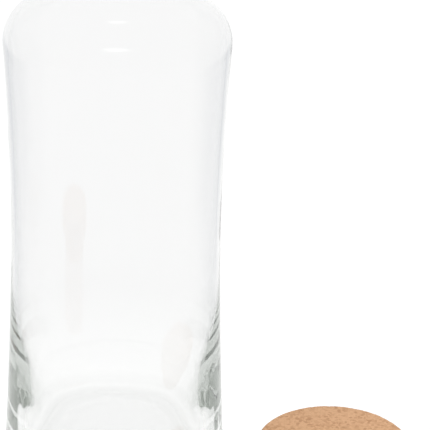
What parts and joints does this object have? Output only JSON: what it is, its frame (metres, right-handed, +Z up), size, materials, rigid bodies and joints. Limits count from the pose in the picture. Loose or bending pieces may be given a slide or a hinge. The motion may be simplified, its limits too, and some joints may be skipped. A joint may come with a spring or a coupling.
{
  "type": "glass canister with cork stopper",
  "caption": "Tall waisted clear glass canister with a heavy base and a wide mouth, open, its cork stopper standing beside it.",
  "frame": {"origin": "centre of the flat ring under the glass vessel, on the surface that it stands on", "axes": "+Z up along the vessel's axis, towards its mouth; +X to the right and +Y to the back, with the stopper standing at +X, -Y"},
  "size_m": [0.2057, 0.1492, 0.2912],
  "materials": {
    "glass_vessel": "polished",
    "cork_cap": "matte",
    "cork_plug": "matte"
  },
  "bodies": {
    "vessel": {"glass_vessel": "glass_vessel"},
    "stopper": {"cork_cap": "cork_cap", "cork_plug": "cork_plug"}
  },
  "joints": [
    {"name": "stopper_lift", "type": "slide", "parent": "vessel", "child": "stopper", "axis": [0, 0, 1], "range_m": [0, 0.3]}
  ]
}
